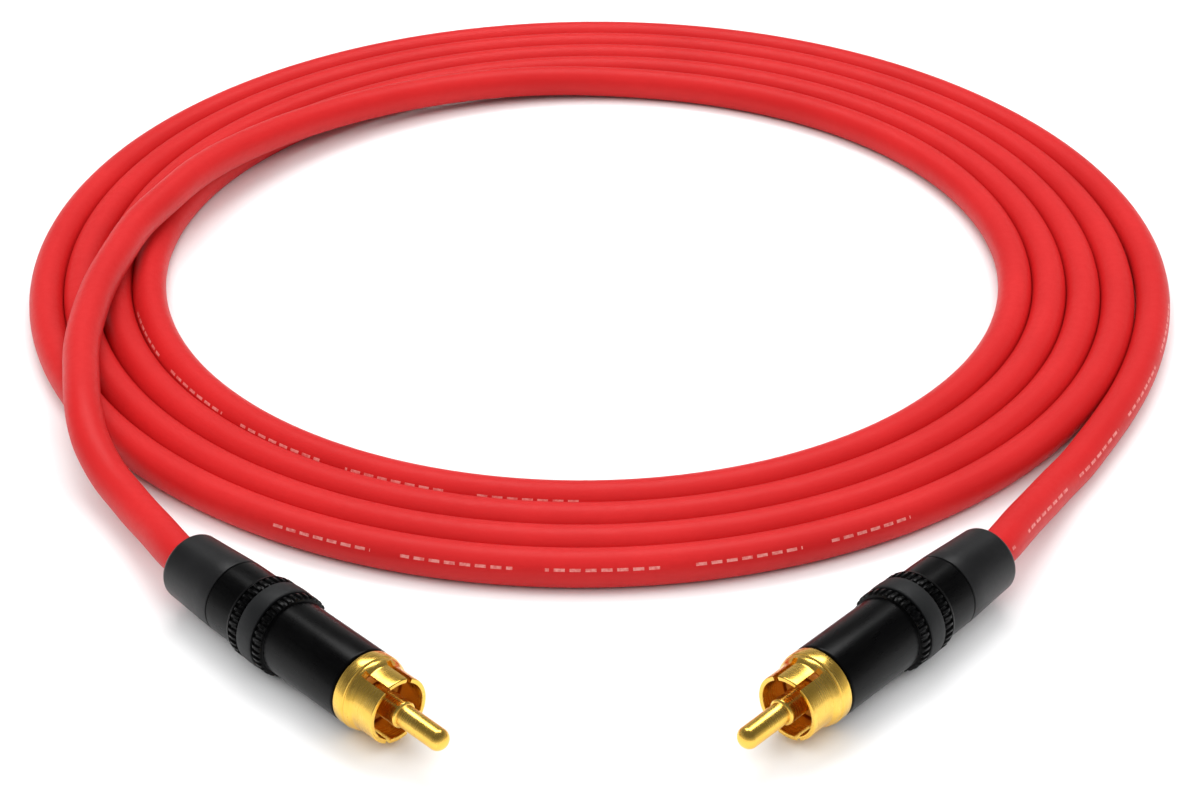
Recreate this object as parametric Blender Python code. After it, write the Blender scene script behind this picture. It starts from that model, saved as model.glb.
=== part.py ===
"""Audio cable with a phono plug on each end, lying in a flat open coil. Blender 4.5, metres, +Z up.

Each plug is made in its own frame: +X runs along its axis from the rear face of the boot to the tip of
the pin, and +Z is up. An empty carries it to its place. A distance along that axis is called a station.
"""
import math

import bmesh
import bpy
import numpy as np
from mathutils import Vector

for old in list(bpy.data.objects):
    bpy.data.objects.remove(old, do_unlink=True)

MM = 0.001
GAP = 0.25 * MM  # clearance between fixed pieces that touch or fit into each other
RUN_GAP = 0.3 * MM  # clearance of the pieces that turn or slide, and of the cable's own solids

# Cable
CABLE_RADIUS = 3.0 * MM
TURN_SPACING = 6.0 * MM
COIL_RADIUS = 100.76 * MM  # centre line of the outermost turn where the coil starts
COIL_CENTRE = (0.0, 0.11829)
COIL_TURNS = 4 + 70 / 360
LOOSENING = 0.35 * MM  # how far the first and the last stretch of the coil stand off their neighbour
LOOSE_TURNS = 0.1
STEP_LENGTH = 0.2 * MM  # along the coil's edge, where the cable enters or leaves it
CORE_RADIUS = 0.65 * MM
CORE_RING_RADIUS = 0.96 * MM  # the four cores lie around the cable's centre at this radius
BRAID_RADIUS = 2.4 * MM
BRAID_WALL = 0.4 * MM
BRAID_LENGTH = 1.7 * MM

# Plug, stations
BOOT_LENGTH = 11.35 * MM
BUSHING_LENGTH = 11.0 * MM  # knurled back nut, with its skirt
SPIGOT_LENGTH = 3.6 * MM  # the part of the bushing inside the boot
REAR_FLANGE_START = 5.3 * MM  # from the bushing's visible rear face
FLANGE_LENGTH = 2.4 * MM
RING_LENGTH = 3.6 * MM
BARREL_LENGTH = 16.9 * MM  # from the knurled flange's rear face to the front lip
NECK_LENGTH = 7.1 * MM  # threaded neck behind the flange
COLLAR_LENGTH = 1.95 * MM
SHOULDER_LENGTH = 1.4 * MM
SHIELD_TUBE_LENGTH = 4.0 * MM
PIN_BASE_PAST_SHIELD = 1.3 * MM
PIN_LENGTH = 8.3 * MM  # past its stepped base
PIN_TAIL_LENGTH = 4.1 * MM  # solder cup end behind the insulator

# Plug, radii and walls
BOOT_REAR_RADIUS = 5.2 * MM
BOOT_FLARE = 0.85 * MM  # the bore widens by this at the rear, where the cable may bend
BOOT_FLARE_LENGTH = 3.8 * MM
BODY_RADIUS = 5.73 * MM  # bushing, and the boot where they meet
FLANGE_RADIUS = 6.33 * MM
SPIGOT_RADIUS = 4.4 * MM
NECK_RADIUS = 4.7 * MM
NECK_BORE_RADIUS = 4.1 * MM
SKIRT_RADIUS = 5.6 * MM
BARREL_RADIUS = 5.6 * MM
BARREL_WALL = 0.9 * MM
SHIELD_TUBE_RADIUS = 4.95 * MM
SHIELD_TUBE_WALL = 0.7 * MM
SHOULDER_RADIUS = 5.25 * MM
SLEEVE_WALL = 1.0 * MM
PIN_RADIUS = 1.62 * MM
PIN_BASE_RADIUS = 1.95 * MM
CUP_WALL = 0.5 * MM

# Knurls and slots
KNURL_TEETH = 36
KNURL_DEPTH = 0.25 * MM
KNURL_CHAMFER = 0.55 * MM
SLOT_WIDTH = 0.9 * MM
SLOT_LENGTH = 4.7 * MM
SLOT_HALF_SPREAD = 24.0  # degrees from the middle of the narrow petal to a slot
CHUCK_SLIT = 0.8 * MM
CHUCK_LENGTH = 3.9 * MM

# Where each plug lies: its rear centre, the heading of its pin in degrees, and the side of its narrow petal
PLUGS = {
    "left": ((-0.058965, 0.01853), -45.8, 87.0),
    "right": ((0.059054, 0.019647), -132.84, 93.0),
}
AXIS_HEIGHT = FLANGE_RADIUS

# The cable's free stretches, as points chosen by hand (x, y, z) from the plug towards the coil
RIGHT_TAIL = [
    (0.0616, 0.0233, 0.0061),
    (0.0650, 0.0292, 0.0054),
    (0.0700, 0.0376, 0.0042),
    (0.0739, 0.0441, 0.0033),
    (0.0772, 0.0490, 0.0030),
    (0.0803, 0.0540, 0.0030),
    (0.0851, 0.0622, 0.0030),
    (0.0898, 0.0712, 0.0030),
    (0.0951, 0.0841, 0.0030),
    (0.0991, 0.0985, 0.0030),
]
LEFT_TAIL = [
    (-0.0616, 0.0221, 0.0061),
    (-0.0651, 0.0280, 0.0054),
    (-0.0691, 0.0344, 0.0048),
    (-0.0721, 0.0391, 0.0048),
    (-0.0751, 0.0435, 0.0053),
    (-0.0773, 0.0472, 0.0062),
    (-0.0792, 0.0510, 0.0073),
    (-0.0806, 0.0551, 0.0084),
]
# The stretch that climbs out of the coil and lies over its turns: radius and angle about the coil, height
CROSSING = [
    (0.0750, 85, 0.0032),
    (0.0749, 98, 0.0038),
    (0.0748, 111, 0.0044),
    (0.0748, 123, 0.0051),
    (0.0751, 137, 0.0062),
    (0.0760, 151, 0.0077),
    (0.0780, 165, 0.0090),
    (0.0794, 172, 0.0093),
    (0.0820, 179, 0.0093),
    (0.0843, 186, 0.0093),
    (0.0874, 193, 0.0093),
    (0.0909, 200, 0.0093),
    (0.0950, 207, 0.0093),
    (0.0980, 212, 0.0093),
    (0.1005, 215.5, 0.0091),
]
JACKET_INSIDE = 18.3 * MM  # how far the jacket reaches into the plug
BEND_START = 1.6 * MM  # the cable starts to bend inside the boot's flared mouth
SEGMENTS = 32

# Stations of the plug's pieces, worked out from the lengths above
BUSHING_START = BOOT_LENGTH + GAP
FLANGE_START = BUSHING_START + REAR_FLANGE_START
RING_START = FLANGE_START + FLANGE_LENGTH
BUSHING_END = BUSHING_START + BUSHING_LENGTH
BARREL_START = BUSHING_END + RUN_GAP
BARREL_END = BARREL_START + BARREL_LENGTH
NECK_START = BARREL_START - NECK_LENGTH
COLLAR_START = BARREL_END + GAP
COLLAR_END = COLLAR_START + COLLAR_LENGTH
SHIELD_TUBE_START = COLLAR_END + SHOULDER_LENGTH
SHIELD_END = SHIELD_TUBE_START + SHIELD_TUBE_LENGTH
PIN_BASE_END = SHIELD_END + PIN_BASE_PAST_SHIELD
PIN_END = PIN_BASE_END + PIN_LENGTH
BARREL_BORE_RADIUS = BARREL_RADIUS - BARREL_WALL
SLEEVE_RADIUS = BARREL_BORE_RADIUS - GAP
SLEEVE_START = COLLAR_START - 7.3 * MM
SHIELD_BORE_RADIUS = SHIELD_TUBE_RADIUS - SHIELD_TUBE_WALL
SHIELD_FLOOR = COLLAR_END - 0.4 * MM
CHUCK_END = NECK_START - RUN_GAP
CHUCK_START = CHUCK_END - CHUCK_LENGTH
BORE_RADIUS = CABLE_RADIUS + RUN_GAP  # where a piece surrounds the cable
TAG_THICKNESS = 0.4 * MM
TAG_WIDTH = 2.2 * MM
TAG_TAIL_LENGTH = 6.5 * MM
TAG_START = SLEEVE_START - GAP - TAG_THICKNESS


def material(name, colour, roughness, metallic=0.0):
    made = bpy.data.materials.new(name)
    made.use_nodes = True
    shader = made.node_tree.nodes["Principled BSDF"]
    shader.inputs["Base Color"].default_value = (*colour, 1)
    shader.inputs["Roughness"].default_value = roughness
    shader.inputs["Metallic"].default_value = metallic
    return made


JACKET_RED = material("jacket_red", (0.80, 0.04, 0.04), 0.45)
BOOT_RUBBER = material("boot_rubber", (0.03, 0.03, 0.03), 0.7)
BLACK_LACQUER = material("black_lacquer", (0.008, 0.008, 0.008), 0.25, 0.4)
RING_PLASTIC = material("ring_plastic", (0.04, 0.04, 0.04), 0.6)
GOLD_PLATE = material("gold_plate", (0.93, 0.68, 0.22), 0.22, 1.0)
WHITE_PLASTIC = material("white_plastic", (0.75, 0.73, 0.68), 0.5)
GREY_NYLON = material("grey_nylon", (0.45, 0.45, 0.43), 0.5)
TINNED_COPPER = material("tinned_copper", (0.72, 0.68, 0.62), 0.35, 1.0)
CORE_CLEAR = material("core_clear", (0.85, 0.85, 0.80), 0.4)
CORE_BLUE = material("core_blue", (0.06, 0.20, 0.60), 0.4)


def finish(name, mesh, look, parent=None):
    """One object from a mesh, shaded smooth apart from its hard edges."""
    mesh.materials.append(look)
    mesh.shade_smooth()
    mesh.set_sharp_from_angle(angle=math.radians(35))
    made = bpy.data.objects.new(name, mesh)
    bpy.context.scene.collection.objects.link(made)
    made.parent = parent
    return made


def mesh_from(name, verts, faces):
    mesh = bpy.data.meshes.new(name)
    bm = bmesh.new()
    points = [bm.verts.new(v) for v in verts]
    for face in faces:
        bm.faces.new([points[i] for i in face])
    bmesh.ops.recalc_face_normals(bm, faces=bm.faces)
    bm.to_mesh(mesh)
    bm.free()
    return mesh


def joined_rings(a, b):
    """Faces between two closed rings of vertex numbers, which may differ in how many they hold."""
    if len(a) == 1 and len(b) == 1:
        return []
    if len(a) == 1:
        return [(a[0], b[j], b[(j + 1) % len(b)]) for j in range(len(b))]
    if len(b) == 1:
        return [(a[i], a[(i + 1) % len(a)], b[0]) for i in range(len(a))]
    if len(a) == len(b):
        n = len(a)
        return [(a[i], a[(i + 1) % n], b[(i + 1) % n], b[i]) for i in range(n)]
    faces = []
    i = j = 0
    while i < len(a) or j < len(b):
        if j >= len(b) or (i < len(a) and (i + 1) * len(b) <= (j + 1) * len(a)):
            faces.append((a[i % len(a)], a[(i + 1) % len(a)], b[j % len(b)]))
            i += 1
        else:
            faces.append((a[i % len(a)], b[(j + 1) % len(b)], b[j % len(b)]))
            j += 1
    return faces


def turned(name, outline, segments=SEGMENTS):
    """Mesh of a closed outline turned about X. An outline point is (station, radius), or
    (station, radius, depth) where a knurl's teeth stand between radius - depth and radius."""
    verts = []
    rings = []
    for point in outline:
        station, radius = point[0], point[1]
        depth = point[2] if len(point) > 2 else None
        count = 1 if radius == 0 else segments if depth is None else 2 * KNURL_TEETH
        ring = []
        for k in range(count):
            angle = 2 * math.pi * k / count
            r = radius - (depth if depth and k % 2 else 0)
            ring.append(len(verts))
            verts.append((station, r * math.cos(angle), r * math.sin(angle)))
        rings.append(ring)
    faces = []
    for a, b in zip(rings, rings[1:] + rings[:1]):
        faces += joined_rings(a, b)
    return mesh_from(name, verts, faces)


def arc(centre, radii, start, end, steps):
    """Outline points along an elliptical arc, angles in degrees from the +station direction."""
    angles = [math.radians(start + (end - start) * k / steps) for k in range(steps + 1)]
    return [(centre[0] + radii[0] * math.cos(a), centre[1] + radii[1] * math.sin(a)) for a in angles]


def block(name, low, high):
    """Box mesh between two corners."""
    x, y, z = zip(low, high)
    verts = [(x[i], y[j], z[k]) for i in (0, 1) for j in (0, 1) for k in (0, 1)]
    faces = [(0, 1, 3, 2), (4, 6, 7, 5), (0, 4, 5, 1), (2, 3, 7, 6), (0, 2, 6, 4), (1, 5, 7, 3)]
    return mesh_from(name, verts, faces)


def combined(target, tool_mesh, operation, name, parent, roll=0.0):
    """Adds a Boolean of the tool to the target. The tool is a hidden guide turned about X by roll degrees."""
    tool = bpy.data.objects.new(name, tool_mesh)
    bpy.context.scene.collection.objects.link(tool)
    tool.parent = parent
    tool.rotation_euler = (math.radians(roll), 0, 0)
    tool.hide_render = True
    tool.display_type = "WIRE"
    step = target.modifiers.new(name, "BOOLEAN")
    step.operation = operation
    step.solver = "EXACT"
    step.object = tool


def smooth_line(points):
    """A function of 0..1 along the natural cubic spline through the points, and its length."""
    p = np.array(points, float)
    t = np.concatenate([[0], np.cumsum(np.linalg.norm(np.diff(p, axis=0), axis=1))])
    h = np.diff(t)
    n = len(p)
    a = np.eye(n)
    right = np.zeros((n, 3))
    for i in range(1, n - 1):
        a[i, i - 1], a[i, i], a[i, i + 1] = h[i - 1], 2 * (h[i - 1] + h[i]), h[i]
        right[i] = 6 * ((p[i + 1] - p[i]) / h[i] - (p[i] - p[i - 1]) / h[i - 1])
    m = np.linalg.solve(a, right)

    def at(where):
        i = int(min(np.searchsorted(t, where, side="right") - 1, n - 2))
        u, v = t[i + 1] - where, where - t[i]
        return (
            (m[i] * u**3 + m[i + 1] * v**3) / (6 * h[i])
            + (p[i] / h[i] - m[i] * h[i] / 6) * u
            + (p[i + 1] / h[i] - m[i + 1] * h[i] / 6) * v
        )

    return at, t


def ease(x):
    x = min(max(x, 0.0), 1.0)
    return x * x * (3 - 2 * x)


def coil_radius(turns):
    """Radius of the cable's centre line after so many turns from the coil's outer start."""
    outward = ease(1 - turns / LOOSE_TURNS) - ease((turns - COIL_TURNS) / LOOSE_TURNS + 1)
    return COIL_RADIUS - TURN_SPACING * turns + LOOSENING * outward


def around_coil(radius, degrees, height):
    angle = math.radians(degrees)
    x = COIL_CENTRE[0] + radius * math.cos(angle)
    return (x, COIL_CENTRE[1] + radius * math.sin(angle), height)


def plug_axis_point(side, station):
    (x, y), heading, _ = PLUGS[side]
    angle = math.radians(heading)
    return (x + station * math.cos(angle), y + station * math.sin(angle), AXIS_HEIGHT)


def route():
    """The cable's centre line from the right plug to the left one, and the numbers of the points
    where the coil starts and ends."""
    inside = [JACKET_INSIDE, (JACKET_INSIDE + BEND_START) / 2, BEND_START]
    points = [plug_axis_point("right", s) for s in inside] + RIGHT_TAIL
    first = len(points)
    steps = round(COIL_TURNS * 18)
    turns = [COIL_TURNS * k / steps for k in range(steps + 1)]
    points += [around_coil(coil_radius(t), 360 * t, CABLE_RADIUS) for t in turns]
    last = len(points) - 1
    points += [around_coil(*p) for p in CROSSING] + LEFT_TAIL[::-1]
    points += [plug_axis_point("left", s) for s in inside[::-1]]
    return points, first, last


def cable_tube(name, line, start, end, count):
    """Straight-sided tube along part of the route."""
    curve = bpy.data.curves.new(name, "CURVE")
    curve.dimensions = "3D"
    curve.bevel_depth = CABLE_RADIUS
    curve.bevel_resolution = 2
    curve.use_fill_caps = True
    spline = curve.splines.new("POLY")
    spline.points.add(count - 1)
    for k in range(count):
        spline.points[k].co = (*line(start + (end - start) * k / (count - 1)), 1)
    curve.materials.append(JACKET_RED)
    made = bpy.data.objects.new(name, curve)
    bpy.context.scene.collection.objects.link(made)


def small_wire(name, points, radius, look, parent):
    curve = bpy.data.curves.new(name, "CURVE")
    curve.dimensions = "3D"
    curve.bevel_depth = radius
    curve.bevel_resolution = 1
    curve.use_fill_caps = True
    line, t = smooth_line(points)
    count = 7
    spline = curve.splines.new("POLY")
    spline.points.add(count - 1)
    for k in range(count):
        spline.points[k].co = (*line(t[-1] * k / (count - 1)), 1)
    curve.materials.append(look)
    made = bpy.data.objects.new(name, curve)
    made.parent = parent
    bpy.context.scene.collection.objects.link(made)


def cable_coil():
    """The coil's outer shape: a flat ring with rounded edges, stepped where the cable enters and leaves."""
    whole = int(COIL_TURNS)
    leaves = 360 * (COIL_TURNS - whole)
    step = math.degrees(STEP_LENGTH / COIL_RADIUS)
    inner_part = [leaves * k / 7 for k in range(8)]
    rest = [leaves + step + (360 - step - leaves - step) * k / 30 for k in range(31)]
    verts = []
    rings = []
    for degrees in inner_part + rest:
        outer = coil_radius(degrees / 360) if degrees <= 359 else coil_radius(1.0)
        inner = coil_radius(degrees / 360 + (whole if degrees <= leaves else whole - 1))
        section = []
        for k in range(5):
            a = math.radians(90 - 45 * k)
            section.append((outer + CABLE_RADIUS * math.cos(a), CABLE_RADIUS * (1 + math.sin(a))))
        for k in range(5):
            a = math.radians(270 - 45 * k)
            section.append((inner + CABLE_RADIUS * math.cos(a), CABLE_RADIUS * (1 + math.sin(a))))
        ring = []
        for radius, height in section:
            ring.append(len(verts))
            verts.append(around_coil(radius, degrees, height))
        rings.append(ring)
    faces = []
    for a, b in zip(rings, rings[1:] + rings[:1]):
        faces += joined_rings(a, b)
    finish("cable_coil", mesh_from("cable_coil", verts, faces), JACKET_RED)


def boot(side, parent):
    """Soft sleeve over the bushing's spigot, rounded and flared where the cable comes out."""
    pocket = SPIGOT_RADIUS + GAP
    pocket_floor = BUSHING_START - SPIGOT_LENGTH - GAP
    edge = 0.8 * MM
    outline = [(BOOT_LENGTH, pocket), (BOOT_LENGTH, BODY_RADIUS)]
    outline += arc((edge, BOOT_REAR_RADIUS - edge), (edge, edge), 90, 180, 4)
    outline += [(0.0, BORE_RADIUS + BOOT_FLARE), (BOOT_FLARE_LENGTH, BORE_RADIUS)]
    outline += [(pocket_floor, BORE_RADIUS)]
    outline += [(pocket_floor, pocket)]
    finish(side + "_boot", turned("boot", outline), BOOT_RUBBER, parent)


def bushing(side, parent):
    """Back nut: spigot inside the boot, knurled flange, and a threaded skirt that runs onto the neck."""
    spigot_start = BUSHING_START - SPIGOT_LENGTH
    cone_start = CHUCK_START - 0.6 * MM
    cone_end = cone_start + 2.6 * MM
    thread_bore = NECK_RADIUS + RUN_GAP
    knurl_start = FLANGE_START + KNURL_CHAMFER
    outline = [
        (spigot_start, BORE_RADIUS),
        (spigot_start, SPIGOT_RADIUS),
        (BUSHING_START, SPIGOT_RADIUS),
        (BUSHING_START, BODY_RADIUS),
        (FLANGE_START, BODY_RADIUS),
        (FLANGE_START, FLANGE_RADIUS - 2 * KNURL_DEPTH),
        (knurl_start - 0.1 * MM, FLANGE_RADIUS - KNURL_DEPTH, 0),
        (knurl_start, FLANGE_RADIUS, KNURL_DEPTH),
        (RING_START - 0.1 * MM, FLANGE_RADIUS, KNURL_DEPTH),
        (RING_START, FLANGE_RADIUS - KNURL_DEPTH, 0),
        (RING_START, SKIRT_RADIUS),
        (BUSHING_END, SKIRT_RADIUS),
        (BUSHING_END, thread_bore),
        (cone_end, thread_bore),
        (cone_start, BORE_RADIUS + 0.5 * MM),
        (cone_start, BORE_RADIUS),
    ]
    finish(side + "_bushing", turned("bushing", outline), BLACK_LACQUER, parent)


def coding_ring(side, parent):
    """Plain ring held on the bushing's skirt."""
    start = RING_START + GAP
    end = BUSHING_END
    inner = SKIRT_RADIUS + GAP
    bevel = 0.12 * MM
    outline = [
        (start, inner),
        (start, FLANGE_RADIUS - bevel),
        (start + bevel, FLANGE_RADIUS),
        (end - bevel, FLANGE_RADIUS),
        (end, FLANGE_RADIUS - bevel),
        (end, inner),
    ]
    finish(side + "_coding_ring", turned("coding_ring", outline), RING_PLASTIC, parent)


def chuck(side, parent):
    """Split collet that the bushing's cone closes on the cable."""
    outer = NECK_RADIUS + RUN_GAP - GAP
    cone = 2.0 * MM
    outline = [
        (CHUCK_START, BORE_RADIUS),
        (CHUCK_START, BORE_RADIUS + 0.4 * MM),
        (CHUCK_START + cone, outer),
        (CHUCK_END, outer),
        (CHUCK_END, BORE_RADIUS),
    ]
    made = finish(side + "_strain_relief_chuck", turned("chuck", outline), GREY_NYLON, parent)
    slit_end = CHUCK_END - 1.1 * MM
    for k in range(3):
        half = CHUCK_SLIT / 2
        tool = block("slit", (CHUCK_START - MM, -half, BORE_RADIUS - MM), (slit_end, half, outer + MM))
        combined(made, tool, "DIFFERENCE", f"{side}_chuck_slit_{k}", parent, 120 * k + 30)


def barrel(side, parent):
    """Front shell: threaded neck, knurled flange and plain body."""
    knurl_end = BARREL_START + FLANGE_LENGTH - KNURL_CHAMFER
    flange_end = BARREL_START + FLANGE_LENGTH
    body_root = BARREL_START + 1.4 * MM
    lip = 0.2 * MM
    outline = [
        (NECK_START, NECK_BORE_RADIUS),
        (NECK_START, NECK_RADIUS - lip),
        (NECK_START + lip, NECK_RADIUS),
        (BARREL_START, NECK_RADIUS),
        (BARREL_START, FLANGE_RADIUS - KNURL_DEPTH, 0),
        (BARREL_START + 0.1 * MM, FLANGE_RADIUS, KNURL_DEPTH),
        (knurl_end, FLANGE_RADIUS, KNURL_DEPTH),
        (knurl_end + 0.1 * MM, FLANGE_RADIUS - KNURL_DEPTH, 0),
        (flange_end, FLANGE_RADIUS - 2 * KNURL_DEPTH),
        (flange_end, BARREL_RADIUS),
        (BARREL_END - lip, BARREL_RADIUS),
        (BARREL_END, BARREL_RADIUS - lip),
        (BARREL_END, BARREL_BORE_RADIUS),
        (body_root, BARREL_BORE_RADIUS),
        (body_root, NECK_BORE_RADIUS),
    ]
    finish(side + "_barrel", turned("barrel", outline), BLACK_LACQUER, parent)


def ground_contact(side, parent, petal_middle):
    """Outer contact: sleeve inside the barrel, collar, rounded shoulder, and a tube slotted into petals."""
    groove = 0.15 * MM
    outline = [
        (SLEEVE_START, SLEEVE_RADIUS - SLEEVE_WALL),
        (SLEEVE_START, SLEEVE_RADIUS),
        (COLLAR_START, SLEEVE_RADIUS),
        (COLLAR_START, BARREL_RADIUS),
        (COLLAR_END - groove, BARREL_RADIUS),
        (COLLAR_END, BARREL_RADIUS - groove),
    ]
    rise = BARREL_RADIUS - groove - SHOULDER_RADIUS
    run = SHOULDER_LENGTH - 0.2 * MM
    outline += arc((COLLAR_END, SHOULDER_RADIUS), (run, rise), 75, 0, 3)
    outline += [
        (SHIELD_TUBE_START, SHIELD_TUBE_RADIUS),
        (SHIELD_END - 0.15 * MM, SHIELD_TUBE_RADIUS),
        (SHIELD_END, SHIELD_TUBE_RADIUS - 0.1 * MM),
        (SHIELD_END, SHIELD_BORE_RADIUS),
        (SHIELD_FLOOR, SHIELD_BORE_RADIUS),
        (SHIELD_FLOOR, SLEEVE_RADIUS - SLEEVE_WALL),
    ]
    made = finish(side + "_ground_contact", turned("ground_contact", outline), GOLD_PLATE, parent)
    start = SHIELD_END - SLOT_LENGTH
    half = SLOT_WIDTH / 2
    spread = SLOT_HALF_SPREAD
    for k, angle in enumerate((-spread, spread, 180 - spread, 180 + spread)):
        low = (start, -half, SHIELD_BORE_RADIUS - 0.5 * MM)
        high = (SHIELD_END + MM, half, BODY_RADIUS)
        tool = block("slot", low, high)
        combined(made, tool, "DIFFERENCE", f"{side}_slot_{k}", parent, petal_middle + angle - 90)


def insulator(side, parent):
    """Flanged bush that holds the pin in the outer contact."""
    bore = PIN_BASE_RADIUS + GAP
    sleeve = SLEEVE_RADIUS - SLEEVE_WALL - GAP
    flange = SHIELD_BORE_RADIUS - GAP
    seat = SHIELD_FLOOR + GAP
    start = SLEEVE_START + 1.2 * MM
    outline = [(start, bore), (start, sleeve), (seat, sleeve), (seat, flange)]
    outline += [(seat + 0.9 * MM, flange), (seat + 0.9 * MM, bore)]
    finish(side + "_insulator", turned("insulator", outline, 24), WHITE_PLASTIC, parent)


def centre_pin(side, parent):
    """Centre contact: solder cup, stepped base and rounded tip."""
    cup_start = SLEEVE_START + 1.2 * MM - PIN_TAIL_LENGTH
    cup_floor = cup_start + 3.0 * MM
    base_start = cup_start + PIN_TAIL_LENGTH - 0.6 * MM
    cup_bore = PIN_RADIUS - CUP_WALL
    nose = 1.35 * MM
    outline = [(cup_floor, 0), (cup_floor, cup_bore), (cup_start, cup_bore), (cup_start, PIN_RADIUS)]
    outline += [(base_start, PIN_RADIUS), (base_start, PIN_BASE_RADIUS)]
    outline += [(PIN_BASE_END - 0.1 * MM, PIN_BASE_RADIUS), (PIN_BASE_END, PIN_BASE_RADIUS - 0.1 * MM)]
    outline += [(PIN_BASE_END, PIN_RADIUS)]
    outline += arc((PIN_END - nose, 0), (nose, PIN_RADIUS), 90, 15, 4)
    outline += [(PIN_END, 0)]
    finish(side + "_centre_pin", turned("centre_pin", outline, 24), GOLD_PLATE, parent)


def ground_tag(side, parent):
    """Solder tag: a washer behind the outer contact with a tail along the barrel's wall."""
    outer = SLEEVE_RADIUS
    inner = SLEEVE_RADIUS - SLEEVE_WALL
    end = TAG_START + TAG_THICKNESS
    outline = [(TAG_START, inner), (TAG_START, outer), (end, outer), (end, inner)]
    made = finish(side + "_ground_tag", turned("ground_tag", outline, 24), TINNED_COPPER, parent)
    half = TAG_WIDTH / 2
    low = (end - TAG_TAIL_LENGTH, -half, tag_height() - TAG_THICKNESS)
    tail = block("tag_tail", low, (end - 0.1 * MM, half, tag_height()))
    combined(made, tail, "UNION", side + "_tag_tail", parent)


def tag_height():
    """Height of the tag tail's upper face above the plug's axis, which is negative."""
    return -(SLEEVE_RADIUS - 0.6 * MM)


def wiring(side, parent):
    """Two signal cores to the pin's cup, two return cores and the shield's pigtail to the tag."""
    jacket_end = JACKET_INSIDE + GAP
    braid_end = jacket_end + BRAID_LENGTH
    inner = BRAID_RADIUS - BRAID_WALL
    outline = [(jacket_end, inner), (jacket_end, BRAID_RADIUS), (braid_end, BRAID_RADIUS), (braid_end, inner)]
    finish(side + "_shield_braid", turned("shield_braid", outline, 24), TINNED_COPPER, parent)
    cup_start = SLEEVE_START + 1.2 * MM - PIN_TAIL_LENGTH
    r = CORE_RING_RADIUS
    spread = CORE_RADIUS + 0.06 * MM
    for k, y in enumerate((-1, 1), 1):
        start = (jacket_end, y * r * 0.8, r * 0.8)
        middle = (braid_end + 1.5 * MM, y * r * 0.85, r * 0.9)
        end = (cup_start - GAP, y * spread, 0)
        small_wire(f"{side}_signal_core_{k}", [start, middle, end], CORE_RADIUS, CORE_CLEAR, parent)
        start = (jacket_end, y * r * 0.8, -r * 0.8)
        middle = (braid_end + 1.2 * MM, y * r * 0.9, -r * 1.1)
        rest = tag_height() + CORE_RADIUS + GAP
        end = (TAG_START + TAG_THICKNESS - TAG_TAIL_LENGTH + 1.6 * MM, y * spread, rest)
        small_wire(f"{side}_return_core_{k}", [start, middle, end], CORE_RADIUS, CORE_BLUE, parent)


def plug(side):
    (x, y), heading, petal_middle = PLUGS[side]
    parent = bpy.data.objects.new(side + "_plug", None)
    bpy.context.scene.collection.objects.link(parent)
    parent.location = Vector((x, y, AXIS_HEIGHT))
    parent.rotation_euler = (0, 0, math.radians(heading))
    boot(side, parent)
    bushing(side, parent)
    coding_ring(side, parent)
    chuck(side, parent)
    barrel(side, parent)
    ground_contact(side, parent, petal_middle)
    insulator(side, parent)
    centre_pin(side, parent)
    ground_tag(side, parent)
    wiring(side, parent)


def cable():
    points, first, last = route()
    line, t = smooth_line(points)
    cable_tube("right_cable_tail", line, 0, t[first] - STEP_LENGTH - RUN_GAP, 18)
    cable_tube("left_cable_tail", line, t[last] + STEP_LENGTH + RUN_GAP, t[-1], 44)
    cable_coil()


plug("left")
plug("right")
cable()
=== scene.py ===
"""Coiled red audio cable with two phono plugs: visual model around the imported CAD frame."""
import math

import bmesh
import bpy
import numpy as np
from mathutils import Matrix, Vector


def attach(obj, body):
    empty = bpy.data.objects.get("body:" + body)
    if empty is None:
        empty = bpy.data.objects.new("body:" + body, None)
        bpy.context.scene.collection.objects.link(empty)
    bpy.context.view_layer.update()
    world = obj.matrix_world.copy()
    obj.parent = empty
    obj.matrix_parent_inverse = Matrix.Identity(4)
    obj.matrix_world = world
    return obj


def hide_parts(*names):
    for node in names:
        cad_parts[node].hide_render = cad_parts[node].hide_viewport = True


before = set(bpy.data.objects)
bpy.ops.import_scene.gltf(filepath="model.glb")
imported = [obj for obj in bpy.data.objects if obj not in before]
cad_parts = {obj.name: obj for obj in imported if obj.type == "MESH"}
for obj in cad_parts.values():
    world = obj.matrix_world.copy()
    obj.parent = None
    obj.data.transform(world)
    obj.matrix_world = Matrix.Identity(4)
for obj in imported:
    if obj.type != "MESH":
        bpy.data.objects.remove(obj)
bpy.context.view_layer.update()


MM = 0.001

# ---------------------------------------------------------------- the plugs' and the cable's places
AXIS_HEIGHT = 6.33 * MM
PLUGS = {
    "left": ((-0.058965, 0.01853), -45.8, 87.0),
    "right": ((0.059054, 0.019647), -132.84, 93.0),
}
CABLE_RADIUS = 3.0 * MM
TURN_SPACING = 6.0 * MM
COIL_RADIUS = 100.76 * MM
COIL_CENTRE = (0.0, 0.11829)
COIL_TURNS = 4 + 70 / 360
LOOSENING = 0.35 * MM
LOOSE_TURNS = 0.1
JACKET_INSIDE = 18.3 * MM
BOOT_INSIDE = 5.3  # millimetres from the boot's rear face to the point that the outlines' stations start from
BEND_START = 1.6 * MM
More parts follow.
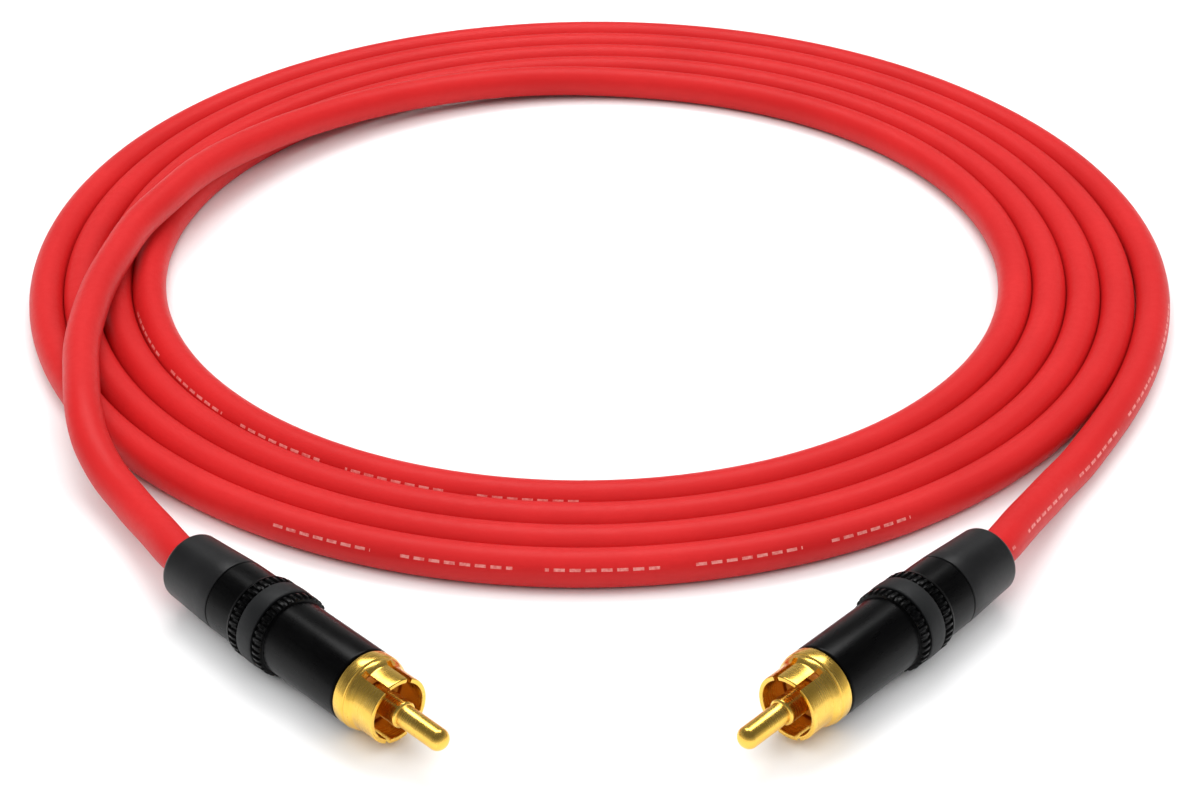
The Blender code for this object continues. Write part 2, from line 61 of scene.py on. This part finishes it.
# The cable's free stretches, points listed from the plug towards the coil (x, y, z)
RIGHT_TAIL = [
    (0.0616, 0.0233, 0.0061),
    (0.0650, 0.0292, 0.0054),
    (0.0700, 0.0376, 0.0042),
    (0.0739, 0.0441, 0.0033),
    (0.0772, 0.0490, 0.0030),
    (0.0803, 0.0540, 0.0030),
    (0.0851, 0.0622, 0.0030),
    (0.0898, 0.0712, 0.0030),
    (0.0951, 0.0841, 0.0030),
    (0.0991, 0.0985, 0.0030),
]
LEFT_TAIL = [
    (-0.0616, 0.0221, 0.0061),
    (-0.0651, 0.0280, 0.0054),
    (-0.0691, 0.0344, 0.0048),
    (-0.0721, 0.0391, 0.0048),
    (-0.0751, 0.0435, 0.0053),
    (-0.0773, 0.0472, 0.0062),
    (-0.0792, 0.0510, 0.0073),
    (-0.0806, 0.0551, 0.0084),
]
# The stretch that climbs out of the coil and lies over its turns: radius and angle about the coil, height
CROSSING = [
    (0.0750, 85, 0.0032),
    (0.0749, 98, 0.0038),
    (0.0748, 111, 0.0044),
    (0.0748, 123, 0.0051),
    (0.0751, 137, 0.0062),
    (0.0760, 151, 0.0077),
    (0.0780, 165, 0.0090),
    (0.0794, 172, 0.0093),
    (0.0820, 179, 0.0093),
    (0.0843, 186, 0.0093),
    (0.0874, 193, 0.0093),
    (0.0909, 200, 0.0093),
    (0.0950, 207, 0.0093),
    (0.0980, 212, 0.0093),
    (0.1005, 215.5, 0.0091),
]

# ---------------------------------------------------------------- knurls (millimetres) and print (metres)
KNURL_TEETH = 36
KNURL_SEGMENTS = 12 * KNURL_TEETH
KNURL_CREST = 6.33
KNURL_DEPTH = 0.36
LEVEL = 0.0001  # a depth this small marks a ring at a knurl's edge that has no teeth
PRINT_START = 0.010
PRINT_REPEAT = 0.531
PRINT_END = 2.4  # no print past this length of cable
STROKE_REPEAT = 0.0023
WORD_REPEAT = 0.0215
PRINT_SIDE = 1.08  # radians from straight up
PRINT_TURN = 1.8  # how far the print turns under the cable between its first and its last coil turn
PRINT_HALF_WIDTH = 0.08


# ---------------------------------------------------------------- shader helpers
class Look:
    """A node material with a Principled shader and short helpers to build what feeds it."""

    def __init__(self, name, **values):
        self.material = bpy.data.materials.new(name)
        self.material.use_nodes = True
        self.tree = self.material.node_tree
        self.shader = self.tree.nodes["Principled BSDF"]
        for key, value in values.items():
            self.shader.inputs[key.replace("_", " ")].default_value = value

    def node(self, kind, links=None, **settings):
        made = self.tree.nodes.new(kind)
        for key, value in settings.items():
            setattr(made, key, value)
        for key, value in (links or {}).items():
            socket = made.inputs[key]
            if isinstance(value, bpy.types.NodeSocket):
                self.tree.links.new(value, socket)
            else:
                socket.default_value = value
        return made

    def object_space(self, scale=(1, 1, 1)):
        where = self.node("ShaderNodeTexCoord").outputs["Object"]
        return self.node("ShaderNodeMapping", {"Vector": where, "Scale": scale}).outputs["Vector"]

    def noise(self, vector, scale, detail=3.0, roughness=0.5):
        links = {"Vector": vector, "Scale": scale, "Detail": detail, "Roughness": roughness}
        return self.node("ShaderNodeTexNoise", links).outputs["Fac"]

    def maths(self, operation, a, b=None, c=None):
        made = self.node("ShaderNodeMath", operation=operation)
        for socket, value in zip(made.inputs, (a, b, c)):
            if isinstance(value, bpy.types.NodeSocket):
                self.tree.links.new(value, socket)
            elif value is not None:
                socket.default_value = value
        return made.outputs[0]

    def span(self, value, low, high, to_low, to_high):
        links = {"Value": value, "From Min": low, "From Max": high, "To Min": to_low, "To Max": to_high}
        return self.node("ShaderNodeMapRange", links).outputs["Result"]

    def mix(self, factor, a, b):
        made = self.node("ShaderNodeMix", data_type="RGBA")
        for key, value in (("Factor_Float", factor), ("A_Color", a), ("B_Color", b)):
            socket = next(s for s in made.inputs if s.identifier == key)
            if isinstance(value, bpy.types.NodeSocket):
                self.tree.links.new(value, socket)
            else:
                socket.default_value = value if key == "Factor_Float" else (*value, 1)
        return next(s for s in made.outputs if s.identifier == "Result_Color")

    def attribute(self, name):
        return self.node("ShaderNodeAttribute", attribute_name=name).outputs["Fac"]

    def bump(self, height, strength, distance, under=None):
        links = {"Height": height, "Strength": strength, "Distance": distance}
        if under is not None:
            links["Normal"] = under
        return self.node("ShaderNodeBump", links).outputs["Normal"]

    def feed(self, **sockets):
        for key, value in sockets.items():
            self.tree.links.new(value, self.shader.inputs[key.replace("_", " ")])


def jacket_look():
    """Soft PVC jacket: faint mottling, drawn-out die lines along the cable and a row of pale dashes."""
    look = Look("jacket", Specular_IOR_Level=0.2)
    along = look.attribute("along")
    around = look.attribute("around")
    fine = look.noise(look.object_space(), 900, 4)
    broad = look.noise(look.object_space(), 45, 2)
    drawn = look.node("ShaderNodeCombineXYZ", {"X": look.maths("MULTIPLY", along, 12), "Y": around})
    lines = look.noise(drawn.outputs[0], 26, 2)
    base = look.mix(look.span(broad, 0.3, 0.7, 0, 1), JACKET_DARK, JACKET_LIGHT)
    base = look.mix(look.span(fine, 0.35, 0.75, 0, 0.35), base, JACKET_DARK)
    # the dashes: a line of short strokes that comes back at regular distances, on a side that slowly turns
    past_start = look.maths("SUBTRACT", along, PRINT_START)
    place = look.maths("FRACT", look.maths("DIVIDE", past_start, PRINT_REPEAT))
    printed = look.maths("LESS_THAN", along, PRINT_END)
    group = look.maths("MULTIPLY", look.maths("LESS_THAN", place, 0.19), printed)
    stroke = look.maths("FRACT", look.maths("DIVIDE", along, STROKE_REPEAT))
    short = look.maths("LESS_THAN", stroke, 0.7)
    gap = look.maths("GREATER_THAN", look.maths("FRACT", look.maths("DIVIDE", along, WORD_REPEAT)), 0.22)
    turn_under = look.span(along, 0.7, 1.0, 0, PRINT_TURN)
    turn_back = look.span(along, 1.75, 2.05, 0, PRINT_TURN)
    middle = look.maths("ADD", look.maths("SUBTRACT", turn_under, turn_back), PRINT_SIDE)
    off = look.maths("ABSOLUTE", look.maths("SUBTRACT", around, middle))
    row = look.maths("LESS_THAN", off, PRINT_HALF_WIDTH)
    ink = look.maths("MULTIPLY", look.maths("MULTIPLY", group, short), look.maths("MULTIPLY", gap, row))
    worn = look.span(look.noise(look.object_space(), 1500, 2), 0.35, 0.6, 0.25, 0.6)
    look.feed(Base_Color=look.mix(look.maths("MULTIPLY", ink, worn), base, (0.86, 0.42, 0.38)))
    look.feed(Roughness=look.span(look.maths("ADD", fine, lines), 0.6, 1.4, 0.40, 0.54))
    normal = look.bump(lines, 0.10, 0.0004)
    look.feed(Normal=look.bump(fine, 0.10, 0.00012, normal))
    return look.material


def turned_metal(name, dark, light, rough, line_strength=0.06, **values):
    """Turned metal: fine rings left by the tool along the axis, and faint smudges."""
    look = Look(name, Metallic=1.0, **values)
    rings = look.noise(look.object_space((1, 0.02, 0.02)), 5200, 3, 0.6)
    smudge = look.noise(look.object_space(), 260, 4, 0.6)
    look.feed(Base_Color=look.mix(look.span(smudge, 0.3, 0.7, 0, 1), dark, light))
    look.feed(Roughness=look.span(look.maths("ADD", rings, smudge), 0.6, 1.4, *rough))
    look.feed(Normal=look.bump(rings, line_strength, 0.00004))
    return look.material


def lacquer_look():
    """Gloss black lacquer over turned brass: almost smooth, with fine rings and light handling marks."""
    look = Look("black_lacquer", Specular_IOR_Level=0.12)
    rings = look.noise(look.object_space((1, 0.03, 0.03)), 3600, 2)
    marks = look.noise(look.object_space((1, 4, 4)), 380, 5, 0.65)
    marked = look.span(marks, 0.4, 0.75, 0, 1)
    look.feed(Base_Color=look.mix(marked, (0.0004, 0.0004, 0.0005), (0.0012, 0.0012, 0.0013)))
    look.feed(Roughness=look.span(marks, 0.35, 0.75, 0.27, 0.33))
    look.feed(Normal=look.bump(rings, 0.02, 0.00003))
    return look.material


def moulded_look(name, dark, light, rough, grain, depth, scale=1400, **values):
    """Moulded plastic or rubber: a fine surface grain with slightly uneven tone and sheen."""
    look = Look(name, **values)
    fine = look.noise(look.object_space(), scale, 3, 0.6)
    tone = look.noise(look.object_space(), 170, 3)
    look.feed(Base_Color=look.mix(look.span(tone, 0.3, 0.7, 0, 1), dark, light))
    look.feed(Roughness=look.span(look.maths("ADD", fine, tone), 0.6, 1.4, *rough))
    look.feed(Normal=look.bump(fine, grain, depth))
    return look.material


def braid_look():
    """Woven tinned wire: two sets of fine strands crossing at an angle."""
    look = Look("braid", Metallic=1.0)
    first = look.node("ShaderNodeTexWave", {"Vector": look.object_space((1, 1, 0.4)), "Scale": 900.0})
    second = look.node("ShaderNodeTexWave", {"Vector": look.object_space((1, -1, 0.4)), "Scale": 900.0})
    weave = look.maths("MULTIPLY", first.outputs["Fac"], second.outputs["Fac"])
    look.feed(Base_Color=look.mix(weave, (0.35, 0.32, 0.29), (0.82, 0.79, 0.74)))
    look.feed(Roughness=look.span(weave, 0, 1, 0.5, 0.25))
    look.feed(Normal=look.bump(weave, 0.6, 0.0001))
    return look.material


JACKET_DARK = (0.52, 0.012, 0.013)
JACKET_LIGHT = (0.585, 0.016, 0.017)
JACKET = jacket_look()
GOLD = turned_metal("gold_plate", (0.93, 0.57, 0.09), (0.97, 0.63, 0.14), (0.23, 0.30), 0.02)
TINNED = turned_metal("tinned_copper", (0.60, 0.56, 0.50), (0.78, 0.74, 0.68), (0.28, 0.45))
LACQUER = lacquer_look()
BOOT_RUBBER = moulded_look(
    "boot_rubber", (0.005, 0.005, 0.0055), (0.008, 0.008, 0.0085),
    (0.38, 0.46), 0.2, 0.00008, Specular_IOR_Level=0.3,
)
RING_PLASTIC = moulded_look(
    "ring_plastic", (0.006, 0.0065, 0.007), (0.010, 0.0105, 0.011),
    (0.48, 0.60), 0.2, 0.00008, Specular_IOR_Level=0.3,
)
# The insulator's colour is partly its own and partly painted light: it is made bright orange to stand in for
# the orange glow of light bouncing round inside the gold shell.
INSULATOR_PAINTED_GLOW = moulded_look(
    "insulator", (0.72, 0.26, 0.03), (0.82, 0.33, 0.05),
    (0.30, 0.45), 0.15, 0.00006,
)
NYLON = moulded_look("nylon", (0.38, 0.38, 0.36), (0.50, 0.50, 0.48), (0.40, 0.55), 0.15, 0.00008)
CORE_CLEAR = moulded_look("core_clear", (0.72, 0.72, 0.66), (0.86, 0.86, 0.80), (0.25, 0.40), 0.1, 0.00005)
CORE_BLUE = moulded_look("core_blue", (0.04, 0.14, 0.48), (0.07, 0.22, 0.66), (0.25, 0.40), 0.1, 0.00005)
BRAID = braid_look()


# ---------------------------------------------------------------- the cable
def smooth_line(points):
    """A function along the natural cubic spline through the points, and each point's place on it."""
    p = np.array(points, float)
    t = np.concatenate([[0], np.cumsum(np.linalg.norm(np.diff(p, axis=0), axis=1))])
    h = np.diff(t)
    n = len(p)
    a = np.eye(n)
    right = np.zeros((n, 3))
    for i in range(1, n - 1):
        a[i, i - 1], a[i, i], a[i, i + 1] = h[i - 1], 2 * (h[i - 1] + h[i]), h[i]
        right[i] = 6 * ((p[i + 1] - p[i]) / h[i] - (p[i] - p[i - 1]) / h[i - 1])
    m = np.linalg.solve(a, right)

    def at(where):
        i = int(min(np.searchsorted(t, where, side="right") - 1, n - 2))
        u, v = t[i + 1] - where, where - t[i]
        return (
            (m[i] * u**3 + m[i + 1] * v**3) / (6 * h[i])
            + (p[i] / h[i] - m[i] * h[i] / 6) * u
            + (p[i + 1] / h[i] - m[i + 1] * h[i] / 6) * v
        )

    return at, t


def ease(x):
    x = min(max(x, 0.0), 1.0)
    return x * x * (3 - 2 * x)


def coil_radius(turns):
    outward = ease(1 - turns / LOOSE_TURNS) - ease((turns - COIL_TURNS) / LOOSE_TURNS + 1)
    return COIL_RADIUS - TURN_SPACING * turns + LOOSENING * outward


def around_coil(radius, degrees, height):
    angle = math.radians(degrees)
    return (COIL_CENTRE[0] + radius * math.cos(angle), COIL_CENTRE[1] + radius * math.sin(angle), height)


def plug_axis_point(side, station):
    (x, y), heading, _ = PLUGS[side]
    angle = math.radians(heading)
    return (x + station * math.cos(angle), y + station * math.sin(angle), AXIS_HEIGHT)


def route():
    inside = [JACKET_INSIDE, (JACKET_INSIDE + BEND_START) / 2, BEND_START]
    points = [plug_axis_point("right", s) for s in inside] + RIGHT_TAIL
    steps = round(COIL_TURNS * 18)
    turns = [COIL_TURNS * k / steps for k in range(steps + 1)]
    points += [around_coil(coil_radius(t), 360 * t, CABLE_RADIUS) for t in turns]
    points += [around_coil(*p) for p in CROSSING] + LEFT_TAIL[::-1]
    points += [plug_axis_point("left", s) for s in inside[::-1]]
    return points


def tube(name, points, radius, sides, look):
    """Closed tube mesh along the points, with the distance along it and the angle round it kept for the
    material. The angle is measured from straight up."""
    p = np.array(points)
    step = np.gradient(p, axis=0)
    step /= np.linalg.norm(step, axis=1)[:, None]
    along = np.concatenate([[0], np.cumsum(np.linalg.norm(np.diff(p, axis=0), axis=1))])
    side_way = np.cross(step, (0, 0, 1))
    side_way /= np.linalg.norm(side_way, axis=1)[:, None]
    up = np.cross(side_way, step)
    verts = []
    marks = []
    for i in range(len(p)):
        for k in range(sides):
            a = 2 * math.pi * k / sides
            verts.append(p[i] + radius * (math.cos(a) * up[i] + math.sin(a) * side_way[i]))
            marks.append((along[i], a if a <= math.pi else a - 2 * math.pi))
    faces = []
    for i in range(len(p) - 1):
        for k in range(sides):
            a, b = i * sides + k, i * sides + (k + 1) % sides
            faces.append((a, b, b + sides, a + sides))
    faces.append(tuple(range(sides))[::-1])
    faces.append(tuple(range((len(p) - 1) * sides, len(p) * sides)))
    mesh = bpy.data.meshes.new(name)
    mesh.from_pydata([tuple(v) for v in verts], [], faces)
    for index, key in enumerate(("along", "around")):
        layer = mesh.attributes.new(key, "FLOAT", "POINT")
        layer.data.foreach_set("value", [m[index] for m in marks])
    mesh.materials.append(look)
    mesh.shade_smooth()
    mesh.set_sharp_from_angle(angle=math.radians(50))
    made = bpy.data.objects.new(name, mesh)
    bpy.context.scene.collection.objects.link(made)
    return made, float(along[-1])


def cable():
    line, t = smooth_line(route())
    count = int(t[-1] / 0.0016)
    points = [line(t[-1] * k / count) for k in range(count + 1)]
    made, length = tube("cable", points, CABLE_RADIUS, 28, JACKET)
    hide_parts("cable_coil", "left_cable_tail", "right_cable_tail")
    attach(made, "cable")


# ---------------------------------------------------------------- turned pieces
def knurl(angle, teeth, depth):
    """How far a knurl's surface lies below its crest: rounded teeth between narrow grooves."""
    phase = (angle * teeth / (2 * math.pi)) % 1.0
    groove = abs(phase - 0.5) * 2
    return depth * ease((0.68 - groove) / 0.40)


def placed(side, mesh, name, look, body, nodes):
    """Puts a piece made along +X at its plug, on its body."""
    (x, y), heading, _ = PLUGS[side]
    made = bpy.data.objects.new(name, mesh)
    bpy.context.scene.collection.objects.link(made)
    turned = Matrix.Rotation(math.radians(heading), 4, "Z")
    made.matrix_world = Matrix.Translation((x, y, AXIS_HEIGHT)) @ turned
    mesh.materials.append(look)
    bpy.context.view_layer.update()
    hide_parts(*nodes)
    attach(made, body)
    return made


def lathe(name, outline, segments=120, teeth=KNURL_TEETH):
    """Closed mesh of the outline turned about X. A third value on a point is its knurl's depth."""
    verts = []
    rings = []
    for point in outline:
        station, radius = point[0], point[1]
        depth = point[2] if len(point) > 2 else 0
        ring = []
        for k in range(1 if radius == 0 else segments):
            a = 2 * math.pi * k / segments
            r = radius - (knurl(a, teeth, depth) if depth else 0)
            ring.append(len(verts))
            verts.append((station, r * math.cos(a), r * math.sin(a)))
        rings.append(ring)
    faces = []
    for a, b in zip(rings, rings[1:] + rings[:1]):
        for k in range(segments):
            j = (k + 1) % segments
            if len(a) == 1 and len(b) == 1:
                continue
            if len(a) == 1:
                faces.append((a[0], b[k], b[j]))
            elif len(b) == 1:
                faces.append((a[k], b[0], a[j]))
            else:
                faces.append((a[k], b[k], b[j], a[j]))
    mesh = bpy.data.meshes.new(name)
    mesh.from_pydata(verts, [], faces)
    smooth(mesh)
    return mesh


def smooth(mesh, angle=32):
    bm = bmesh.new()
    bm.from_mesh(mesh)
    bmesh.ops.remove_doubles(bm, verts=bm.verts, dist=1e-7)
    bmesh.ops.recalc_face_normals(bm, faces=bm.faces)
    bm.to_mesh(mesh)
    bm.free()
    mesh.shade_smooth()
    mesh.set_sharp_from_angle(angle=math.radians(angle))


def arc(centre, radii, start, end, steps):
    angles = [math.radians(start + (end - start) * k / steps) for k in range(steps + 1)]
    return [(centre[0] + radii[0] * math.cos(a), centre[1] + radii[1] * math.sin(a)) for a in angles]


def mm(points):
    """Outlines are written in millimetres, with stations from a point inside the boot."""
    return [((p[0] + BOOT_INSIDE) * MM, *(v * MM for v in p[1:])) for p in points]


def boot(side):
    outline = [(6.05, 4.65), (6.05, 5.62), (5.98, 5.70), (5.85, 5.73), (3.5, 5.63), (0.5, 5.47), (-2.5, 5.31)]
    outline += arc((-4.4, 4.3), (0.9, 0.92), 86, 180, 9)
    outline += [(-5.28, 4.2)] + arc((-4.95, 4.16), (0.33, 0.12), 200, 265, 4)
    outline += [(-4.4, 3.85), (-3.4, 3.55), (-2.4, 3.38), (-1.5, 3.3), (2.2, 3.3), (2.2, 4.65)]
    piece = lathe(f"{side}_boot", mm(outline), 96)
    placed(
        side, piece, f"{side}_boot_detail",
        BOOT_RUBBER, f"{side}_back_nut", [f"{side}_boot"],
    )


def bushing(side):
    crest, depth = KNURL_CREST, KNURL_DEPTH
    shell = [(2.7, 3.3), (2.7, 4.4), (6.3, 4.4), (6.3, 5.66), (6.37, 5.73), (8.5, 5.76), (11.35, 5.73)]
    shell += [(11.6, 5.73), (11.62, 6.02), (11.68, 6.09), (12.05, 6.2), (12.13, 6.19), (12.16, 6.12)]
    teeth = [(12.2, crest - depth, LEVEL), (12.32, crest - 0.10, depth), (12.5, crest, depth)]
    teeth += [(13.6, crest, depth), (13.82, crest - 0.08, depth), (13.95, crest - depth, LEVEL)]
    front = [(14.0, 5.9), (14.0, 5.6), (17.3, 5.6), (17.3, 5.0), (8.3, 5.0), (5.7, 3.8), (5.7, 3.3)]
    piece = lathe(f"{side}_bushing", mm(shell + teeth + front), KNURL_SEGMENTS)
    placed(
        side, piece, f"{side}_bushing_detail",
        LACQUER, f"{side}_back_nut", [f"{side}_bushing"],
    )


def coding_ring(side):
    outline = [(14.15, 5.85), (14.15, 6.2), (14.22, 6.29), (14.4, 6.34), (15.2, 6.38), (15.8, 6.39)]
    outline += [(16.4, 6.38), (17.05, 6.34), (17.22, 6.29), (17.3, 6.2), (17.3, 5.85)]
    piece = lathe(f"{side}_ring", mm(outline), 120)
    placed(
        side, piece, f"{side}_ring_detail",
        RING_PLASTIC, f"{side}_back_nut", [f"{side}_coding_ring"],
    )


def barrel(side):
    crest, depth = KNURL_CREST, KNURL_DEPTH
    neck = [(10.5, 4.1), (10.5, 4.5)]
    for k in range(16):
        start = 10.75 + 0.42 * k
        neck += [(start, 4.55), (start + 0.16, 4.7), (start + 0.26, 4.7)]
    neck += [(17.6, 4.6), (17.6, 5.9)]
    teeth = [(17.62, crest - depth, LEVEL), (17.76, crest - 0.08, depth), (18.0, crest, depth)]
    teeth += [(18.85, crest, depth), (19.1, crest - 0.10, depth), (19.22, crest - depth, LEVEL)]
    shell = [(19.25, 5.85), (19.3, 5.66), (19.38, 5.60), (20.3, 5.60), (27.0, 5.61)]
    shell += [(34.1, 5.60), (34.36, 5.57), (34.46, 5.50), (34.5, 5.40), (34.5, 4.7), (19.0, 4.7), (19.0, 4.1)]
    piece = lathe(f"{side}_barrel", mm(neck + teeth + shell), KNURL_SEGMENTS)
    placed(
        side, piece, f"{side}_barrel_detail",
        LACQUER, "cable", [f"{side}_barrel"],
    )


def ground_contact(side):
    """Sleeve, collar with its groove, rounded shoulder and the slotted tube, built round the saw cuts."""
    petal = PLUGS[side][2]
    half = 0.45 * MM
    cut_start = 37.4
    cuts = sorted(math.radians((petal + d) % 360) for d in (-24, 24, 156, 204))
    # columns round the axis: both edges of each cut, and evenly spread ones between cuts
    columns = []
    for i, cut in enumerate(cuts):
        following = cuts[(i + 1) % 4] + (2 * math.pi if i == 3 else 0)
        columns.append((cut, 1, following))
        count = max(4, round(math.degrees(following - cut) / 3.0))
        columns += [(cut, k / count, following) for k in range(1, count)]
        columns.append((following, -1, cut))

    def angle_of(column, radius):
        first, how, second = column
        off = math.asin(min(0.9, half / radius))
        if how in (1, -1) and isinstance(how, int):
            return first + how * off
        return (first + off) + (second - first - 2 * off) * how

    rear = [(27.45, 3.45), (27.45, 4.38), (34.75, 4.38), (34.75, 5.45), (34.84, 5.57), (34.98, 5.60)]
    rear += [(36.45, 5.60), (36.6, 5.56), (36.66, 5.44), (36.72, 5.38), (36.80, 5.42), (36.9, 5.47)]
    rear += [(37.05, 5.47), (37.22, 5.43)]
    outer = [(cut_start, 5.37), (37.6, 5.28), (37.78, 5.16), (37.92, 5.05), (38.05, 4.97), (38.25, 4.95)]
    outer += [(40.0, 4.95), (41.85, 4.95), (41.98, 4.94), (42.07, 4.88), (42.1, 4.80)]
    inner = [(42.1, 4.40), (42.07, 4.31), (41.98, 4.26), (41.85, 4.25), (40.0, 4.25), (38.25, 4.25)]
    inner += [(38.05, 4.25), (37.92, 4.25), (37.78, 4.25), (37.6, 4.25), (cut_start, 4.25)]
    floor = [(36.5, 4.25), (36.34, 4.2), (36.3, 4.05), (36.3, 3.45)]
    outline = rear + outer + inner + floor
    first_cut, last_cut = len(rear), len(rear) + len(outer) + len(inner) - 1
    verts = []
    rings = []
    for station, radius in mm(outline):
        ring = []
        for column in columns:
            a = angle_of(column, radius)
            ring.append(len(verts))
            verts.append((station, radius * math.cos(a), radius * math.sin(a)))
        rings.append(ring)
    faces = []
    n = len(columns)
    for i in range(len(outline)):
        j = (i + 1) % len(outline)
        for k in range(n):
            m = (k + 1) % n
            in_cut = columns[k][1] == -1 and columns[m][1] == 1
            if in_cut and first_cut <= i < last_cut:
                continue
            faces.append((rings[i][k], rings[j][k], rings[j][m], rings[i][m]))
    # walls of the cuts: the outer and inner points pair up by their order from the cut's end
    pairs = [(first_cut + k, last_cut - k) for k in range(len(outer))]
    for k in range(n):
        if abs(columns[k][1]) == 1 and isinstance(columns[k][1], int):
            for (a, b), (c, d) in zip(pairs, pairs[1:]):
                faces.append((rings[a][k], rings[c][k], rings[d][k], rings[b][k]))
        if columns[k][1] == -1:
            m = (k + 1) % n
            faces.append((rings[first_cut][k], rings[first_cut][m], rings[last_cut][m], rings[last_cut][k]))
    mesh = bpy.data.meshes.new(f"{side}_contact")
    mesh.from_pydata(verts, [], faces)
    smooth(mesh, 38)
    placed(
        side, mesh, f"{side}_contact_detail",
        GOLD, "cable", [f"{side}_ground_contact"],
    )


def insulator(side):
    outline = [(28.6, 2.25), (28.6, 3.1), (36.55, 3.1), (36.55, 3.9), (36.62, 3.98), (37.2, 4.0)]
    outline += [(37.42, 3.93), (37.45, 3.8), (37.45, 3.0), (37.3, 2.9), (37.3, 2.25)]
    piece = lathe(f"{side}_insulator", mm(outline), 72)
    placed(
        side, piece, f"{side}_insulator_detail",
        # Its bright orange is a painted glow of the light bounced round inside the gold shell.
        INSULATOR_PAINTED_GLOW, "cable", [f"{side}_insulator"],
    )


def centre_pin(side):
    """Pin with a stepped base, a rounded tip and a solder cup behind."""
    outline = [(27.5, 0), (27.5, 1.12), (24.65, 1.12), (24.55, 1.2), (24.55, 1.55), (24.65, 1.62)]
    outline += [(28.05, 1.62), (28.05, 1.9), (28.15, 1.97), (42.0, 1.97), (43.05, 2.0), (43.22, 1.96)]
    outline += [(43.34, 1.86), (43.4, 1.72), (43.42, 1.64), (43.5, 1.62)]
    outline += arc((50.25, 0), (1.45, 1.62), 90, 6, 14)
    outline += [(51.7, 0)]
    piece = lathe(f"{side}_pin", mm(outline), 72)
    placed(side, piece, f"{side}_pin_detail", GOLD, "cable", [f"{side}_centre_pin"])


def inner_nodes():
    """The pieces inside the plugs keep their CAD shape and get finished materials."""
    looks = {"strain_relief_chuck": NYLON, "ground_tag": TINNED, "shield_braid": BRAID}
    looks.update({f"signal_core_{k}": CORE_CLEAR for k in (1, 2)})
    looks.update({f"return_core_{k}": CORE_BLUE for k in (1, 2)})
    for side in PLUGS:
        for piece, look in looks.items():
            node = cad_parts[f"{side}_{piece}"]
            for holder in node.material_slots:
                holder.material = look


# ---------------------------------------------------------------- floor, light and camera
def stage():
    look = Look("floor", Roughness=0.55, Specular_IOR_Level=0.25)
    grain = look.noise(look.object_space(), 6, 3)
    look.feed(Base_Color=look.mix(grain, (0.90, 0.90, 0.905), (0.93, 0.93, 0.93)))
    mesh = bpy.data.meshes.new("floor")
    size = 4.0
    corners = [(-size, -size, 0), (size, -size, 0), (size, size, 0), (-size, size, 0)]
    mesh.from_pydata(corners, [], [(0, 1, 2, 3)])
    mesh.materials.append(look.material)
    floor = bpy.data.objects.new("floor", mesh)
    bpy.context.scene.collection.objects.link(floor)
    floor.location.z = -0.00002


def area_light(name, place, target, size, power, mirrored=True):
    data = bpy.data.lights.new(name, "AREA")
    data.shape = "RECTANGLE"
    data.size, data.size_y = size
    data.energy = power
    made = bpy.data.objects.new(name, data)
    bpy.context.scene.collection.objects.link(made)
    made.location = place
    made.rotation_euler = (Vector(target) - Vector(place)).to_track_quat("-Z", "Y").to_euler()
    made.visible_glossy = mirrored


def light():
    """A studio paler towards the horizon, with a softbox behind and fills that no surface mirrors."""
    world = bpy.data.worlds.new("studio")
    bpy.context.scene.world = world
    world.use_nodes = True
    tree = world.node_tree
    where = tree.nodes.new("ShaderNodeTexCoord")
    split = tree.nodes.new("ShaderNodeSeparateXYZ")
    level = tree.nodes.new("ShaderNodeMapRange")
    level.interpolation_type = "SMOOTHSTEP"
    for key, value in (("From Min", 0.0), ("From Max", 0.6), ("To Min", 0.6), ("To Max", 0.16)):
        level.inputs[key].default_value = value
    tree.links.new(where.outputs["Generated"], split.inputs["Vector"])
    tree.links.new(split.outputs["Z"], level.inputs["Value"])
    tree.nodes["Background"].inputs["Color"].default_value = (1, 1, 1, 1)
    tree.links.new(level.outputs["Result"], tree.nodes["Background"].inputs["Strength"])
    area_light("back_softbox", (0.0, 0.62, 1.05), (0, 0.03, 0), (0.90, 0.42), 7.5)
    area_light("left_softbox", (-0.95, 0.10, 0.75), (0, 0.05, 0), (0.45, 0.45), 3.0, mirrored=False)
    area_light("right_softbox", (0.95, 0.10, 0.75), (0, 0.05, 0), (0.45, 0.45), 3.0, mirrored=False)
    area_light("overhead_fill", (0.0, -0.35, 1.3), (0, 0.05, 0), (2.2, 1.8), 21, mirrored=False)


def camera():
    data = bpy.data.cameras.new("camera")
    data.sensor_width = 36
    data.lens = 73.406
    data.clip_start = 0.01
    made = bpy.data.objects.new("camera", data)
    bpy.context.scene.collection.objects.link(made)
    made.location = (0.00081, -0.2742, 0.21927)
    made.rotation_euler = (math.pi / 2 - 0.562225, 0.0008, -0.0030715)
    bpy.context.scene.camera = made


camera()
cable()
for side in PLUGS:
    boot(side)
    bushing(side)
    coding_ring(side)
    barrel(side)
    ground_contact(side)
    insulator(side)
    centre_pin(side)
inner_nodes()
stage()
light()
bpy.context.scene.view_settings.view_transform = "Standard"
